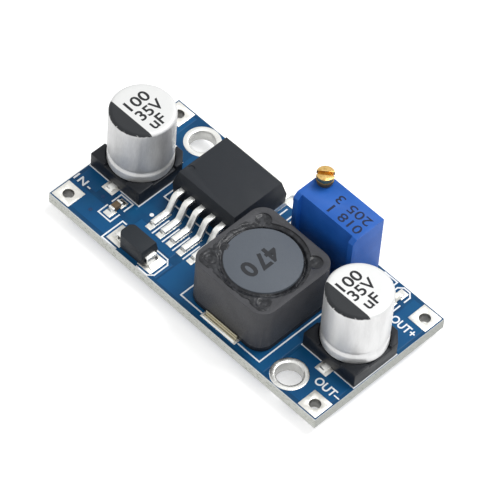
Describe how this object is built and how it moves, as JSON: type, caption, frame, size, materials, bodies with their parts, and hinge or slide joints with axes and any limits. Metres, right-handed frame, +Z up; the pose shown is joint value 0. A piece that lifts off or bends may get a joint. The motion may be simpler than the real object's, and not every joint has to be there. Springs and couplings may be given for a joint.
{
  "type": "buck converter module",
  "caption": "Step-down converter board with can capacitors, a five-lead power package, a shielded inductor and a multi-turn trimmer, with plated wire and mounting holes.",
  "frame": {"origin": "middle of the board's outline, at the height of the trimmer's pin tips, which are the lowest points", "axes": "+X along the board from the input end to the output end, +Y across it towards the trimmer's side, +Z up out of the populated face"},
  "size_m": [0.0438, 0.021, 0.0143],
  "materials": {
    "solder_mask": "blue solder mask over glass laminate, pale at the cut edges",
    "tinned_copper": "tinned copper, slightly uneven",
    "covered_via": "solder mask over a via",
    "white_ink": "printed legend ink",
    "can_aluminium": "drawn aluminium, satin, with a black segment on the minus side",
    "black_base": "moulded black plastic",
    "tinned_lead": "tinned lead, satin",
    "moulding_compound": "charcoal moulding compound, fine grain",
    "tinned_tab": "tinned copper tab",
    "ferrite": "dark sintered ferrite",
    "drum_ferrite": "ground grey ferrite with a dark stamped number",
    "enamelled_wire": "enamelled copper wire",
    "dark_resin": "glossy dark adhesive",
    "clip_metal": "pale tinned clip",
    "trimmer_blue": "moulded blue plastic",
    "brass": "turned brass, tarnished in the grooves",
    "seal_rubber": "black rubber",
    "rotor_plastic": "ivory plastic",
    "spring_alloy": "spring alloy",
    "white_ceramic": "fired white ceramic",
    "resistive_track": "fired resistive film",
    "potting_resin": "blue sealing resin",
    "brown_ceramic": "fired brown ceramic",
    "chip_end": "tinned end cap",
    "clear_lens": "clear moulded lens",
    "black_glaze": "black glaze",
    "solder": "bright flowed solder"
  },
  "bodies": {
    "module": {"circuit_board": "solder_mask", "board_hole_plating": "tinned_copper", "board_terminal_pads": "tinned_copper", "component_lands": "tinned_copper", "vias": "covered_via", "silkscreen": "white_ink", "input_capacitor_can": "can_aluminium", "input_capacitor_base": "black_base", "input_capacitor_leads": "tinned_lead", "output_capacitor_can": "can_aluminium", "output_capacitor_base": "black_base", "output_capacitor_leads": "tinned_lead", "regulator_package": "moulding_compound", "regulator_tab": "tinned_tab", "regulator_leads": "tinned_lead", "inductor_shield_core": "ferrite", "inductor_drum_core": "drum_ferrite", "inductor_winding": "enamelled_wire", "inductor_resin": "dark_resin", "inductor_base": "black_base", "inductor_terminals": "clip_metal", "trimmer_case": "trimmer_blue", "trimmer_element": "white_ceramic", "trimmer_track": "resistive_track", "trimmer_pins": "tinned_lead", "trimmer_potting": "potting_resin", "diode_body": "moulding_compound", "diode_terminals": "tinned_lead", "ceramic_capacitor_body": "brown_ceramic", "ceramic_capacitor_ends": "chip_end", "led_body": "clear_lens", "led_ends": "chip_end", "led_resistor_body": "black_glaze", "led_resistor_ends": "chip_end", "feedback_resistor_body": "black_glaze", "feedback_resistor_ends": "chip_end", "solder_joints": "solder"},
    "adjustment_screw": {"trimmer_screw": "brass", "trimmer_o_ring": "seal_rubber"},
    "wiper_wheel": {"trimmer_rotor": "rotor_plastic", "trimmer_wiper": "spring_alloy"}
  },
  "joints": [
    {"name": "screw_turn", "type": "hinge", "parent": "module", "child": "adjustment_screw", "pos_m": [0.00373, 0.00835, 0.01275], "axis": [0, 0, 1], "range_deg": [-4500, 4500]},
    {"name": "wiper_turn", "type": "hinge", "parent": "module", "child": "wiper_wheel", "pos_m": [0.00753, 0.00835, 0.00758], "axis": [0, 1, 0], "range_deg": [-150, 150]}
  ],
  "couplings": [
    {"joint": "wiper_turn", "follows": "screw_turn", "ratio": -0.033333}
  ]
}
